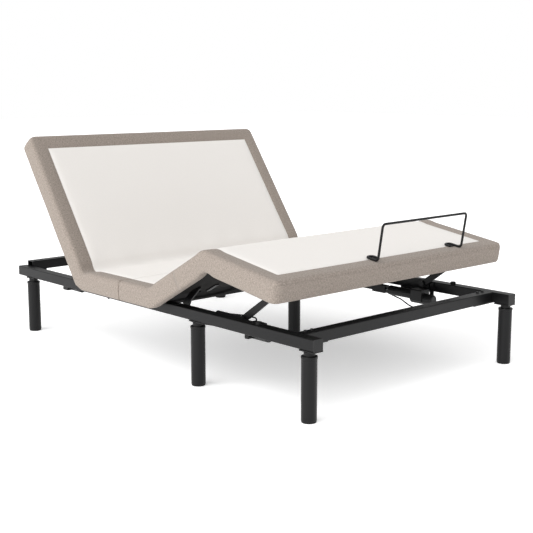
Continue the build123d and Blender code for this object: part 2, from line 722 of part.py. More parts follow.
# ---- control box and cables -----------------------------------------------------------
def make_control_box():
    length, width, height = BOX_SIZE
    with BuildPart() as box:
        with Locations((BOX_LOW_X + length / 2, 0, BOX_TOP - height / 2)):
            Box(length, width, height)
        fillet(box.edges().filter_by(Axis.Z), radius=8)
        fillet(box.faces().sort_by(Axis.Z)[0].edges(), radius=4)
    save(box.part, "control_box")
    with BuildPart() as strap:
        for y in (-70.0, 70.0):
            add(x_box(BOX_LOW_X + 8, 2, y, 12, BOX_TOP, BOX_TOP + 4))
    save(strap.part, "control_box_straps")
    deep, wide, high = INLET_SIZE
    with BuildPart() as inlet:
        with Locations((BOX_LOW_X - deep / 2, INLET_Y, BOX_TOP - height / 2)):
            Box(deep, wide, high)
        fillet(inlet.edges().filter_by(Axis.X), radius=3)
        with Locations((BOX_LOW_X - deep, INLET_Y, BOX_TOP - height / 2)):
            Box(2 * deep - 4, wide - 8, high - 8, mode=Mode.SUBTRACT)
        for y in (INLET_Y - 5, INLET_Y + 5):
            add(x_rod(BOX_LOW_X - deep + 1, BOX_LOW_X - 1, y, BOX_TOP - height / 2, 1.5))
    save(inlet.part, "power_inlet")


def cable(name, points, radius=3.0):
    """Cable along straight runs joined by tangent arcs."""
    radii = []
    for a, b, c in zip(points, points[1:], points[2:]):
        before, after = Vector(*b) - Vector(*a), Vector(*c) - Vector(*b)
        turn = radians(before.get_angle(after))
        radii.append(min(60.0, 0.45 * min(before.length, after.length) / tan(turn / 2)))
    with BuildPart() as tube:
        with BuildLine():
            route = FilletPolyline(*points, radius=radii)
        with BuildSketch(Plane(origin=route @ 0, z_dir=route % 0)):
            Circle(radius)
        sweep(path=route)
    print(f"{name}: length {route.length:.0f}, volume ratio",
          round(tube.part.volume / (pi * radius ** 2 * route.length), 4),
          "radii", [round(r) for r in radii])
    save(tube.part, name)


def make_cables():
    """Motor cables to the control box. The far foot one hangs in a loop from the
    motor; the others leave the top of the gearbox and stay above the rails' foot."""
    loop_x = FOOT_PIN_X + 478
    foot_x = FOOT_PIN_X + 434
    head_x = HEAD_PIN_X - 261
    gear_top = ACTUATOR_Z + 30
    start_points = {
        "far": [
            (loop_x, ACTUATOR_Y, ACTUATOR_Z - 37), (loop_x, ACTUATOR_Y, 195),
            (loop_x - 50, 502, 186), (loop_x - 110, 504, 199), (loop_x - 165, 510, 219),
            (loop_x - 225, 522, 226), (loop_x - 300, 534, 240), (loop_x - 370, 544, 262),
        ],
        "near": [
            (foot_x, -ACTUATOR_Y, gear_top), (foot_x, -ACTUATOR_Y, 303),
            (foot_x - 60, -504, 304), (foot_x - 130, -517, 300), (foot_x - 200, -532, 294),
            (foot_x - 270, -545, 289), (foot_x - 330, -552, 286),
        ],
    }
    for side_name, side in SIDES.items():
        cable(f"foot_motor_cable_{side_name}", start_points[side_name] + [
            (loop_x - 440, side * 557, 283), (180, side * 558, 286), (90, side * 550, 282),
            (64, side * 500, 280), (61, side * 420, 281), (62, side * 300, 279),
            (61, side * 200, 282), (61, side * 134, 290), (60, side * 112, 317.5),
            (-4, side * 92, 317.5), (-34, side * 92, 313), (-34, side * 92, BOX_TOP),
        ])
        cable(f"head_motor_cable_{side_name}", [
            (head_x, side * ACTUATOR_Y, gear_top), (head_x, side * ACTUATOR_Y, 302),
            (head_x + 55, side * 504, 303), (head_x + 115, side * 518, 298),
            (head_x + 180, side * 538, 291), (head_x + 250, side * 552, 286),
            (head_x + 400, side * 558, 284), (-160, side * 554, 280), (-120, side * 500, 276),
            (-112, side * 400, 278), (-113, side * 280, 275), (-112, side * 180, 277),
            (-112, side * 105, 277),
        ])


def main():
    make_side_rails()
    make_cross_rails()
    make_end_caps()
    make_corner_gussets()
    make_head_rail_spacers()
    make_frame_bolts()
    make_legs()
    make_bumpers()
    make_cushions()
    make_boards()
    make_seat_supports()
    make_leaves("seat_hinge_leaves", [SEAT_HEAD, SEAT_FOOT], [])
    make_leaves("head_hinge_leaves", [], [HEAD])
    make_leaves("thigh_hinge_leaves", [THIGH_END], [THIGH])
    make_leaves("foot_hinge_leaves", [], [FOOT])
    make_hinge_pins("seat_hinge_pins", [SEAT_HEAD, SEAT_FOOT])
    make_hinge_pins("knee_hinge_pins", [THIGH_END])
    make_levers("head_levers", HEAD, HEAD_ANGLE / 2, HEAD_ANGLE)
    make_levers("thigh_levers", THIGH, THIGH_ANGLE / 2, THIGH_ANGLE)
    make_actuators()
    make_support_arms()
    make_wear_strips()
    make_retainer_bar()
    make_control_box()
    make_cables()


main()
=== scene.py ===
# %% [markdown]
# # Adjustable bed base
# A steel undercarriage on cylindrical legs carries an upholstered deck that folds into
# head, seat, thigh and foot sections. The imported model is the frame: it gives every size
# and place, and it moves. This lesson dresses it: it sews the covers over the sections,
# gives each piece its finish, and lights it like a catalogue picture.

# %% Load the frame
import json
from math import cos, exp, pi, radians, sin

import bmesh
import bpy
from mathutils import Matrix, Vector, noise


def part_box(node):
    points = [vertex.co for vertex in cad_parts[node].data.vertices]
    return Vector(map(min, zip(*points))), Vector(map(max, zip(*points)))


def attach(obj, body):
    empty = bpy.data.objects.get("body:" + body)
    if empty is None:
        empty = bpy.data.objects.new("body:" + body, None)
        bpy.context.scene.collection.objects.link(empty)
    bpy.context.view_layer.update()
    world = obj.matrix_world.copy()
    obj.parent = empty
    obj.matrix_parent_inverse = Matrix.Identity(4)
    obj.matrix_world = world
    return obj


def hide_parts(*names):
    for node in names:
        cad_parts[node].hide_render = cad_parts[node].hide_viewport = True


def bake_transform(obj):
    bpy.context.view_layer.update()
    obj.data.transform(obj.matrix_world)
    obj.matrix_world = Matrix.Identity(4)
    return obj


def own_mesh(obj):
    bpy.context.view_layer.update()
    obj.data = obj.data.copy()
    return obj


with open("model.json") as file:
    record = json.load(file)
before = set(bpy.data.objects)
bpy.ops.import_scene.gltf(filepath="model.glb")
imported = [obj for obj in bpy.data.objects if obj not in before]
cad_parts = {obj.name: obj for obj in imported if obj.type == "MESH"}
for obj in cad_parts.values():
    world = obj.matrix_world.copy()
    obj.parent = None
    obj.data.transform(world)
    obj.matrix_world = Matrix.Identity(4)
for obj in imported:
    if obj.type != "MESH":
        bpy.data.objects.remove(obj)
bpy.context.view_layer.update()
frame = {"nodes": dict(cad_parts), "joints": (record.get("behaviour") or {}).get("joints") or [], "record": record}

joints = {joint["name"]: joint for joint in frame["joints"]}

# %% [markdown]
# ## The camera
# A bed is long and low, so it is shown with a long lens, from a little above and from the
# corner at its foot. The camera gets its place and one direction to look along; Blender's
# cameras look down their own -Z axis, with +Y up, so the rotation comes from that.

# %% Camera
CAMERA_PLACE = Vector((3.531, -3.118, 1.197))
CAMERA_HEADING, CAMERA_PITCH = radians(137.57), radians(-9.97)
camera_data = bpy.data.cameras.new("camera")
camera_data.lens = 69.5
camera_data.sensor_width = 36.0
camera_data.clip_end = 60.0
camera = bpy.data.objects.new("camera", camera_data)
bpy.context.scene.collection.objects.link(camera)
look = Vector((cos(CAMERA_PITCH) * cos(CAMERA_HEADING),
               cos(CAMERA_PITCH) * sin(CAMERA_HEADING), sin(CAMERA_PITCH)))
camera.location = CAMERA_PLACE
camera.rotation_euler = look.to_track_quat("-Z", "Y").to_euler()
bpy.context.scene.camera = camera

# %% [markdown]
# ## Floor and light
# Black steel and pale cloth in one picture need soft light from everywhere, with one large
# lamp a little stronger than the rest so that round legs get a highlight and the folds a
# dark side. The floor is a plain white sheet, and the white sky fills the shadows.

# %% Floor, sky and lamps
def new_object(name, data):
    """Put a mesh, curve or light into the scene."""
    thing = bpy.data.objects.new(name, data)
    bpy.context.scene.collection.objects.link(thing)
    return thing


floor_mesh = bpy.data.meshes.new("floor")
FAR = 30.0                   # the floor runs past everything in view
floor_mesh.from_pydata([(-FAR, -FAR, 0), (FAR, -FAR, 0), (FAR, FAR, 0), (-FAR, FAR, 0)],
                       [], [(0, 1, 2, 3)])
floor = new_object("floor", floor_mesh)
floor_paint = bpy.data.materials.new("floor_white")
floor_paint.use_nodes = True
floor_shader = floor_paint.node_tree.nodes["Principled BSDF"]
floor_shader.inputs["Base Color"].default_value = (0.93, 0.93, 0.93, 1)
floor_shader.inputs["Roughness"].default_value = 0.9
floor_shader.inputs["Specular IOR Level"].default_value = 0.1
floor_shader.inputs["Emission Color"].default_value = (1, 1, 1, 1)
floor_shader.inputs["Emission Strength"].default_value = 0.42
floor_mesh.materials.append(floor_paint)

world = bpy.data.worlds.new("white_sky")
bpy.context.scene.world = world
world.use_nodes = True
sky = world.node_tree.nodes["Background"]
sky.inputs["Color"].default_value = (1.0, 1.0, 1.0, 1)
SKY_LIGHT, SKY_SEEN, SKY_MIRRORED = 0.58, 1.0, 0.5
ray = world.node_tree.nodes.new("ShaderNodeLightPath")
seen = world.node_tree.nodes.new("ShaderNodeMapRange")
seen.inputs["To Min"].default_value = SKY_LIGHT
seen.inputs["To Max"].default_value = SKY_SEEN
world.node_tree.links.new(ray.outputs["Is Camera Ray"], seen.inputs["Value"])
mirrored = world.node_tree.nodes.new("ShaderNodeMapRange")
mirrored.inputs["To Max"].default_value = SKY_MIRRORED
world.node_tree.links.new(seen.outputs["Result"], mirrored.inputs["To Min"])
world.node_tree.links.new(ray.outputs["Is Glossy Ray"], mirrored.inputs["Value"])
world.node_tree.links.new(mirrored.outputs["Result"], sky.inputs["Strength"])


def soft_sun(name, towards_sun, strength, spread):
    """A very wide sun, like a wall of silk in front of a lamp."""
    lamp = bpy.data.lights.new(name, "SUN")
    lamp.energy = strength
    lamp.angle = radians(spread)
    sun = new_object(name, lamp)
    sun.rotation_euler = Vector(towards_sun).to_track_quat("Z", "Y").to_euler()
    return sun


soft_sun("silk_wall", (0.02, -0.86, 0.50), 2.7, 70)
soft_sun("top_silk", (-0.1, 0.1, 1.0), 0.45, 120)
bpy.context.scene.view_settings.view_transform = "Standard"

# %% [markdown]
# ## Shared effects
# Two effects return in many finishes, so each is a node group with its own inputs: woven
# cloth (threads that cross, with slubs and a heathered colour) and coating (fine orange
# peel, faint dust where a face looks up). Paint, plating, moulded plastic, rubber and felt
# all use the coating. The groups give colours, roughness and heights; the shaders stay
# outside.

# %% Node helpers
def new_group(name, inputs, outputs):
    """A node group with float, colour or vector sockets, and its two end nodes."""
    kinds = {"value": "NodeSocketFloat", "colour": "NodeSocketColor", "vector": "NodeSocketVector"}
    group = bpy.data.node_groups.new(name, "ShaderNodeTree")
    for socket, kind, value in inputs:
        made = group.interface.new_socket(socket, in_out="INPUT", socket_type=kinds[kind])
        if value is not None:
            made.default_value = value
    for socket, kind in outputs:
        group.interface.new_socket(socket, in_out="OUTPUT", socket_type=kinds[kind])
    return group, group.nodes.new("NodeGroupInput"), group.nodes.new("NodeGroupOutput")


def node(tree, kind, settings=None, **values):
    """A node with its settings, then its input values by name."""
    made = tree.nodes.new(kind)
    for name, value in (settings or {}).items():
        setattr(made, name, value)
    for name, value in values.items():
        made.inputs[name.replace("_", " ")].default_value = value
    return made


def math_node(tree, operation, a, b):
    """a operation b, where each is a socket or a number."""
    made = tree.nodes.new("ShaderNodeMath")
    made.operation = operation
    for slot, value in zip(made.inputs, (a, b)):
        if isinstance(value, (int, float)):
            slot.default_value = value
        else:
            tree.links.new(value, slot)
    return made.outputs[0]


def blend_colour(tree, factor, first, second):
    """Mix of two colours by a factor socket."""
    made = tree.nodes.new("ShaderNodeMix")
    made.data_type = "RGBA"
    tree.links.new(factor, made.inputs["Factor"])
    for slot, value in ((made.inputs[6], first), (made.inputs[7], second)):
        if isinstance(value, tuple):
            slot.default_value = value
        else:
            tree.links.new(value, slot)
    return made.outputs[2]


# %% Woven cloth group
cloth_group, cloth_in, cloth_out = new_group(
    "woven_cloth",
    [("Vector", "vector", None), ("Light Thread", "colour", (0.5, 0.45, 0.4, 1)),
     ("Dark Thread", "colour", (0.3, 0.27, 0.24, 1)), ("Threads per Metre", "value", 900.0),
     ("Heather", "value", 0.5)],
    [("Color", "colour"), ("Roughness", "value"), ("Height", "value")])
links = cloth_group.links
warp = node(cloth_group, "ShaderNodeTexWave", {"bands_direction": "X"}, Distortion=0.8, Detail=1.0)
weft = node(cloth_group, "ShaderNodeTexWave", {"bands_direction": "Y"}, Distortion=0.8, Detail=1.0)
for wave in (warp, weft):
    links.new(cloth_in.outputs["Vector"], wave.inputs["Vector"])
    links.new(math_node(cloth_group, "DIVIDE", cloth_in.outputs["Threads per Metre"], 6.283),
              wave.inputs["Scale"])
slubs = node(cloth_group, "ShaderNodeTexNoise", Scale=400.0, Detail=3.0, Roughness=0.65)
clouds = node(cloth_group, "ShaderNodeTexNoise", Scale=300.0, Detail=4.0, Roughness=0.7)
for streaks, along_thread in ((slubs, (0.3, 1, 1)), (clouds, (1, 0.3, 1))):
    drawn_out = node(cloth_group, "ShaderNodeVectorMath", {"operation": "MULTIPLY"})
    links.new(cloth_in.outputs["Vector"], drawn_out.inputs[0])
    drawn_out.inputs[1].default_value = along_thread
    links.new(drawn_out.outputs[0], streaks.inputs["Vector"])
weave = math_node(cloth_group, "MULTIPLY", math_node(
    cloth_group, "ADD", warp.outputs["Fac"], weft.outputs["Fac"]), 0.5)
heather = math_node(cloth_group, "MULTIPLY", math_node(
    cloth_group, "ADD", slubs.outputs["Fac"], clouds.outputs["Fac"]), 0.5)
heather = math_node(cloth_group, "SUBTRACT", heather, 0.5)
heather = math_node(cloth_group, "MULTIPLY", heather, math_node(
    cloth_group, "MULTIPLY", cloth_in.outputs["Heather"], 5.0))
tone = node(cloth_group, "ShaderNodeClamp")
links.new(math_node(cloth_group, "ADD", math_node(
    cloth_group, "ADD", heather, 0.35), math_node(cloth_group, "MULTIPLY", weave, 0.4)),
    tone.inputs["Value"])
links.new(blend_colour(cloth_group, tone.outputs[0], cloth_in.outputs["Dark Thread"],
                       cloth_in.outputs["Light Thread"]), cloth_out.inputs["Color"])
links.new(math_node(cloth_group, "SUBTRACT", 0.96, math_node(
    cloth_group, "MULTIPLY", weave, 0.12)), cloth_out.inputs["Roughness"])
links.new(math_node(cloth_group, "ADD", weave, math_node(
    cloth_group, "MULTIPLY", slubs.outputs["Fac"], 0.8)), cloth_out.inputs["Height"])

# %% Coating group
coat_group, coat_in, coat_out = new_group(
    "coating",
    [("Base", "colour", (0.02, 0.02, 0.02, 1)), ("Dust", "colour", (0.1, 0.1, 0.1, 1)),
     ("Dust Amount", "value", 0.2), ("Roughness", "value", 0.4), ("Peel Scale", "value", 900.0)],
    [("Color", "colour"), ("Roughness", "value"), ("Height", "value")])
links = coat_group.links
place = node(coat_group, "ShaderNodeTexCoord")
peel = node(coat_group, "ShaderNodeTexNoise", Detail=2.0)
links.new(place.outputs["Object"], peel.inputs["Vector"])
links.new(coat_in.outputs["Peel Scale"], peel.inputs["Scale"])
smears = node(coat_group, "ShaderNodeTexNoise", Scale=9.0, Detail=5.0, Roughness=0.65)
links.new(place.outputs["Object"], smears.inputs["Vector"])
facing = node(coat_group, "ShaderNodeNewGeometry")
upward = node(coat_group, "ShaderNodeSeparateXYZ")
links.new(facing.outputs["Normal"], upward.inputs[0])
lies = node(coat_group, "ShaderNodeClamp")
links.new(upward.outputs["Z"], lies.inputs["Value"])
dusty = math_node(coat_group, "MULTIPLY", math_node(
    coat_group, "MULTIPLY", lies.outputs[0], smears.outputs["Fac"]), coat_in.outputs["Dust Amount"])
links.new(blend_colour(coat_group, dusty, coat_in.outputs["Base"], coat_in.outputs["Dust"]),
          coat_out.inputs["Color"])
links.new(math_node(coat_group, "ADD", coat_in.outputs["Roughness"], math_node(
    coat_group, "MULTIPLY", math_node(coat_group, "SUBTRACT", smears.outputs["Fac"], 0.5), 0.25)),
    coat_out.inputs["Roughness"])
links.new(peel.outputs["Fac"], coat_out.inputs["Height"])


# %% [markdown]
# ## Finishes
# The deck wears two cloths: a heathered taupe linen weave on the borders and sides and a
# smooth off-white weave on top. Steel is powder coated in black; pins are bright zinc; the
# actuator rods are black with only their outer end bright zinc, painted shade along the rod
# and a painted highlight at its end; casings are moulded plastic; feet and bumpers are
# rubber; the undersides are closed with black felt.

# %% Cloth and coated materials
def cloth_material(name, light, dark, threads, heather, bump, sheen):
    """Fabric that takes its threads from the cover's flat pattern."""
    material = bpy.data.materials.new(name)
    material.use_nodes = True
    tree = material.node_tree
    shader = tree.nodes["Principled BSDF"]
    pattern = node(tree, "ShaderNodeUVMap", {"uv_map": "pattern"})
    cloth = tree.nodes.new("ShaderNodeGroup")
    cloth.node_tree = cloth_group
    tree.links.new(pattern.outputs["UV"], cloth.inputs["Vector"])
    cloth.inputs["Light Thread"].default_value = (*light, 1)
    cloth.inputs["Dark Thread"].default_value = (*dark, 1)
    cloth.inputs["Threads per Metre"].default_value = threads
    cloth.inputs["Heather"].default_value = heather
    raised = node(tree, "ShaderNodeBump", Strength=bump, Distance=0.0006)
    tree.links.new(cloth.outputs["Height"], raised.inputs["Height"])
    tree.links.new(cloth.outputs["Color"], shader.inputs["Base Color"])
    tree.links.new(cloth.outputs["Roughness"], shader.inputs["Roughness"])
    tree.links.new(raised.outputs["Normal"], shader.inputs["Normal"])
    shader.inputs["Sheen Weight"].default_value = sheen
    shader.inputs["Sheen Roughness"].default_value = 0.5
    shader.inputs["Specular IOR Level"].default_value = 0.25
    return material


def coated_material(name, base, dust, dust_amount, roughness, peel=900.0, bump=0.08, metal=0.0,
                    shine=0.5):
    """Painted, moulded or plated surface, with the coating group's dust and peel."""
    material = bpy.data.materials.new(name)
    material.use_nodes = True
    tree = material.node_tree
    shader = tree.nodes["Principled BSDF"]
    coat = tree.nodes.new("ShaderNodeGroup")
    coat.node_tree = coat_group
    coat.inputs["Base"].default_value = (*base, 1)
    coat.inputs["Dust"].default_value = (*dust, 1)
    coat.inputs["Dust Amount"].default_value = dust_amount
    coat.inputs["Roughness"].default_value = roughness
    coat.inputs["Peel Scale"].default_value = peel
    raised = node(tree, "ShaderNodeBump", Strength=bump, Distance=0.0005)
    tree.links.new(coat.outputs["Height"], raised.inputs["Height"])
    tree.links.new(coat.outputs["Color"], shader.inputs["Base Color"])
    tree.links.new(coat.outputs["Roughness"], shader.inputs["Roughness"])
    tree.links.new(raised.outputs["Normal"], shader.inputs["Normal"])
    shader.inputs["Metallic"].default_value = metal
    shader.inputs["Specular IOR Level"].default_value = shine
    return material


taupe_linen = cloth_material(
    "taupe_linen", (0.372, 0.322, 0.281), (0.180, 0.148, 0.125), threads=700, heather=0.8,
    bump=0.6, sheen=0.1)
off_white_weave = cloth_material(
    "off_white_weave", (0.80, 0.775, 0.745), (0.74, 0.71, 0.68), threads=900, heather=0.25, bump=0.3,
    sheen=0.05)
black_felt = coated_material(
    "black_felt", (0.014, 0.014, 0.015), (0.03, 0.03, 0.03), 0.3, 0.95, 1500, 0.5, shine=0.1)
powder_coat = coated_material(
    "black_powder_coat", (0.005, 0.005, 0.0055), (0.03, 0.03, 0.03), 0.12, 0.36, 1400, 0.1, shine=0.24)
bright_zinc = coated_material(
    "bright_zinc", (0.42, 0.42, 0.43), (0.4, 0.4, 0.4), 0.2, 0.32, 600, 0.03, metal=1.0)
black_plastic = coated_material(
    "black_plastic", (0.008, 0.008, 0.0085), (0.06, 0.06, 0.06), 0.2, 0.45, 2200, 0.2, shine=0.35)
black_rubber = coated_material(
    "black_rubber", (0.010, 0.010, 0.010), (0.05, 0.05, 0.05), 0.3, 0.75, 1800, 0.3, shine=0.3)
lined_board = coated_material(
    "black_lined_board", (0.02, 0.019, 0.018), (0.05, 0.05, 0.05), 0.3, 0.9, 1500, 0.4, shine=0.15)

# %% Finishes on the carried-over nodes
FINISH_BY_SLOT = {
    "deck_fabric": taupe_linen, "plywood": lined_board, "black_steel": powder_coat,
    "hinge_steel": powder_coat, "zinc_steel": bright_zinc, "black_plastic": black_plastic,
    "strip_plastic": black_plastic, "black_rubber": black_rubber, "cable_sheath": black_rubber,
}
for entry in frame["record"]["subparts"]:
    steel = frame["nodes"][entry["node"]]
    finish = FINISH_BY_SLOT[entry["material_slot"]]
    for i in range(max(1, len(steel.material_slots))):
        if len(steel.material_slots) == 0:
            steel.data.materials.append(finish)
        else:
            steel.material_slots[i].material = finish

# Painted shade and highlight: each actuator rod is painted with black powder coat, and only its outer stretch
# keeps bright zinc as a painted highlight.
ROD_PAINTED_GLINT_LENGTH = 0.14            # the round stretch at the outer end of each actuator rod
for name, rod in frame["nodes"].items():
    if "actuator_rod" not in name:
        continue
    rod.data.materials.clear()
    rod.data.materials.append(powder_coat)
    rod.data.materials.append(bright_zinc)
    outer_end = max(abs((rod.matrix_world @ corner.co).x) for corner in rod.data.vertices)
    for face in rod.data.polygons:
        out = abs((rod.matrix_world @ face.center).x)
        face.material_index = 1 if out > outer_end - ROD_PAINTED_GLINT_LENGTH else 0

# %% [markdown]
# ## The covers
# The deck is upholstered like a thin mattress: foam on boards, wrapped in cloth that turns
# under the edge. Between the head and the seat, and over the knee, the cloth isn't cut, so
# each cover is one skin across a joint.

# %% Deck sizes from the frame
low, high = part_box("seat_cushion_head_half")
HALF_WIDTH = high.y
DECK_TOP, RIM_LOW = high.z, low.z
HEAD_PIVOT = Vector(joints["head_hinge"]["pos_m"])
THIGH_PIVOT = Vector(joints["thigh_hinge"]["pos_m"])
KNEE_PIVOT = Vector(joints["knee_hinge"]["pos_m"])
HEAD_ANGLE = -radians(joints["head_hinge"]["range_deg"][0])
THIGH_ANGLE = -radians(joints["thigh_hinge"]["range_deg"][0])
FOOT_FALL = 9 / 29           # the foot section falls this much per degree of thigh rise
FOOT_ANGLE = THIGH_ANGLE * FOOT_FALL
HEAD_LENGTH, FOOT_LENGTH = 0.732, 0.422
THIGH_LENGTH = (KNEE_PIVOT - THIGH_PIVOT).length
SEAM_X = high.x
HINGE_Z = HEAD_PIVOT.z
TOP = DECK_TOP - HINGE_Z
LOW = RIM_LOW - HINGE_Z
SLAB_LOW = -0.0235           # height of the felt
RIM_INNER = HALF_WIDTH - 0.042
BORDER = 0.076               # taupe border round the off-white panel
PANEL_HALF = HALF_WIDTH - BORDER
SEAM_REACH = 0.0035          # half the width of the dip along a seam
NO_END = 9.0                 # a panel that runs on past its cover
CORNER = 0.036               # corner radius of the deck, in plan
HEAD_WALL = 0.034            # thickness of the deep edge at the head end
SKIN_GAP = 0.0008            # room left at the split between the seat halves
print("deck", round(2 * HALF_WIDTH, 3), "wide, thigh", round(THIGH_LENGTH, 3), "seam at", round(SEAM_X, 3))


# %% Cross-section of the upholstery
def arc(centre_y, centre_d, radius, start, end, steps):
    """Points round a corner, in degrees."""
    for i in range(steps + 1):
        a = radians(start + (end - start) * i / steps)
        yield centre_y + radius * cos(a), centre_d + radius * sin(a)


def section_loop(inset, under, narrow=0.0):
    """Closed outline (y, height over the hinge line), drawn in by inset, and by narrow
    at the sides. under is the height of the felt between the two deep edges."""
    half, top, low = HALF_WIDTH - max(inset, narrow), TOP - inset, LOW + inset
    round_top, round_low = 0.017, 0.011
    columns = [i * 0.0225 for i in range(27)]
    columns += [PANEL_HALF - SEAM_REACH, PANEL_HALF, PANEL_HALF + SEAM_REACH]
    border = half - round_top - PANEL_HALF - SEAM_REACH
    columns += [PANEL_HALF + SEAM_REACH + border * share for share in (0.33, 0.67)]
    side = [(y, top) for y in columns]
    side += list(arc(half - round_top, top - round_top, round_top, 90, 0, 6))
    for share in (0.2, 0.4, 0.6, 0.8):
        d = top - round_top + (low + round_low - top + round_top) * share
        side.append((half + 0.0022 * sin(pi * share), d))
    side += list(arc(half - round_low, low + round_low, round_low, 0, -90, 4))
    side.append((min(RIM_INNER + 0.012, half - round_low - 0.001), low))
    if under > low + 0.01:
        side += [(RIM_INNER + 0.002, low + 0.002), (RIM_INNER, low + 0.007),
                 (RIM_INNER, (low + under) / 2), (RIM_INNER, under)]
    else:
        side += [(RIM_INNER, under - 0.0002 * i) for i in range(4)]
    side += [(y, under) for y in (0.55, 0.4, 0.2)]
    near = [(-y, d) for y, d in reversed(side[1:])]
    return near + side + [(0.0, under)]


def seam_groove(along, y, panel_low, panel_high):
    """How far the top dips at the seam round the off-white panel, and how it puffs up
    beside it. along and y are in the flat pattern."""
    out_x = max(panel_low - along, along - panel_high)
    out_y = abs(y) - PANEL_HALF
    if out_x <= 0 and out_y <= 0:
        gap = min(-out_x, -out_y)
    else:
        gap = (max(out_x, 0) ** 2 + max(out_y, 0) ** 2) ** 0.5
    return 0.0016 * (1 - exp(-gap / 0.03)) - 0.0022 * exp(-(gap / SEAM_REACH) ** 2)


# %% Bend and loft
def turned(flat, angle):
    """The offset turned about an axis along Y."""
    return Vector((flat.x * cos(angle) - flat.z * sin(angle), flat.y,
                   flat.x * sin(angle) + flat.z * cos(angle)))


def bent(point, pivot, turn, start, end):
    """The point turned about the pivot (an axis along Y) by its own share of turn. The
    share grows smoothly from start to end, measured where the point ends up."""
    share = 0.5
    flat = point - pivot
    span = end - start
    for _ in range(80):
        placed = pivot + turned(flat, turn * share)
        t = min(1.0, max(0.0, (placed - start).dot(span) / span.length_squared))
        share += 0.35 * (t * t * (3 - 2 * t) - share)
    return placed


def stations(low, high, pivots, seams=()):
    """Places along the pattern: close together near the joints and seams."""
    found = {low, high}
    x = low
    while x < high:
        found.add(x)
        near = min([abs(x - p) for p in pivots] + [9.0])
        x += 0.008 if near < 0.075 else 0.02
    for seam in seams:
        found = {f for f in found if abs(f - seam) > 0.005}
        found |= {seam - SEAM_REACH, seam, seam + SEAM_REACH}
    return sorted(f for f in found if low <= f <= high)


def loft_cover(name, rows, place, panel, wrinkle, end=None):
    """Skin through cross-sections. rows are (along, inset, under); place moves a point
    of the flat pattern into the raised bed; panel is the off-white stretch."""
    mesh = bpy.data.meshes.new(name)
    bm = bmesh.new()
    uv_layer = bm.loops.layers.uv.new("pattern")
    base = section_loop(0, SLAB_LOW)
    run = [0.0]
    for a, b in zip(base, base[1:]):
        run.append(run[-1] + ((a[0] - b[0]) ** 2 + (a[1] - b[1]) ** 2) ** 0.5)
    rings, flats = [], []
    for along, inset, under in rows:
        ring, flat_ring = [], []
        narrow = 0.0 if end is None else 0.94 * corner_inset(along, end)
        for i, (y, d) in enumerate(section_loop(inset, under, narrow)):
            lift = 0.0
            if d > TOP - 0.012 - inset and inset < 0.004:
                lift = seam_groove(along, y, *panel) + wrinkle(along, y)
            elif abs(y) > RIM_INNER + 0.02:
                y += (0.0012 if y > 0 else -0.0012) * noise.noise(Vector((along * 6, y * 3, d * 14)))
            flat_ring.append((along, y, d))
            ring.append(bm.verts.new(place(Vector((along, y, HINGE_Z + d + lift)))))
        rings.append(ring)
        flats.append(flat_ring)
    count = len(base)
    for r in range(len(rows) - 1):
        for i in range(count):
            j = (i + 1) % count
            face = bm.faces.new((rings[r][i], rings[r][j], rings[r + 1][j], rings[r + 1][i]))
            face.smooth = True
            y = (flats[r][i][1] + flats[r][j][1]) / 2
            d = (flats[r][i][2] + flats[r][j][2]) / 2
            x = (flats[r][i][0] + flats[r + 1][i][0]) / 2
            if d > TOP - 0.002 and abs(y) < PANEL_HALF and panel[0] < x < panel[1]:
                face.material_index = 1
            elif abs(y) <= RIM_INNER + 0.001 and d < SLAB_LOW + 0.002:
                face.material_index = 2
            corners = ((r, i), (r, i + 1), (r + 1, i + 1), (r + 1, i))
            for loop, (row, k) in zip(face.loops, corners):
                v = run[k] if k < count else run[-1] + 0.2
                loop[uv_layer].uv = (rows[row][0], v)
    for ring in (rings[0], list(reversed(rings[-1]))):
        bm.faces.new(ring).smooth = False
    bmesh.ops.remove_doubles(bm, verts=bm.verts, dist=0.00005)
    bmesh.ops.recalc_face_normals(bm, faces=bm.faces)
    bm.to_mesh(mesh)
    bm.free()
    cover = new_object(name, mesh)
    for material in (taupe_linen, off_white_weave, black_felt):
        mesh.materials.append(material)
    return cover


def rounded_end(at, towards, radius, under, steps=6):
    """Rows that close a cover with a rounded edge. towards is -1 or 1."""
    rows = []
    for i in range(steps + 1):
        a = pi / 2 * i / steps
        rows.append((at - towards * radius * (1 - sin(a)), radius * (1 - cos(a)), under))
    return rows


def corner_inset(along, end):
    """How far the sides draw in at a distance from the end, for corners round in plan."""
    into = max(0.0, CORNER - abs(end - along))
    return CORNER - (CORNER ** 2 - min(into, CORNER) ** 2) ** 0.5


# %% [markdown]
# ## Head and seat cover
# One skin runs from the rounded head end, down the back rest and on over the first half of
# the seat. Where it turns the corner the top cloth bunches a little, so soft wrinkles run
# across the crease and fade out along the panel.

# %% Head and seat cover
FOLD = 0.052


def crease_wrinkles(pivot_x, height, reach):
    """Short soft folds that cross a crease."""
    def wrinkle(along, y):
        near = exp(-((along - pivot_x) / reach) ** 2)
        fold = noise.noise(Vector((along * 4.0, y * 11.0, 3.1)))
        calm = noise.noise(Vector((along * 3.0, y * 3.0, 7.7)))
        return height * near * fold + 0.0008 * calm
    return wrinkle


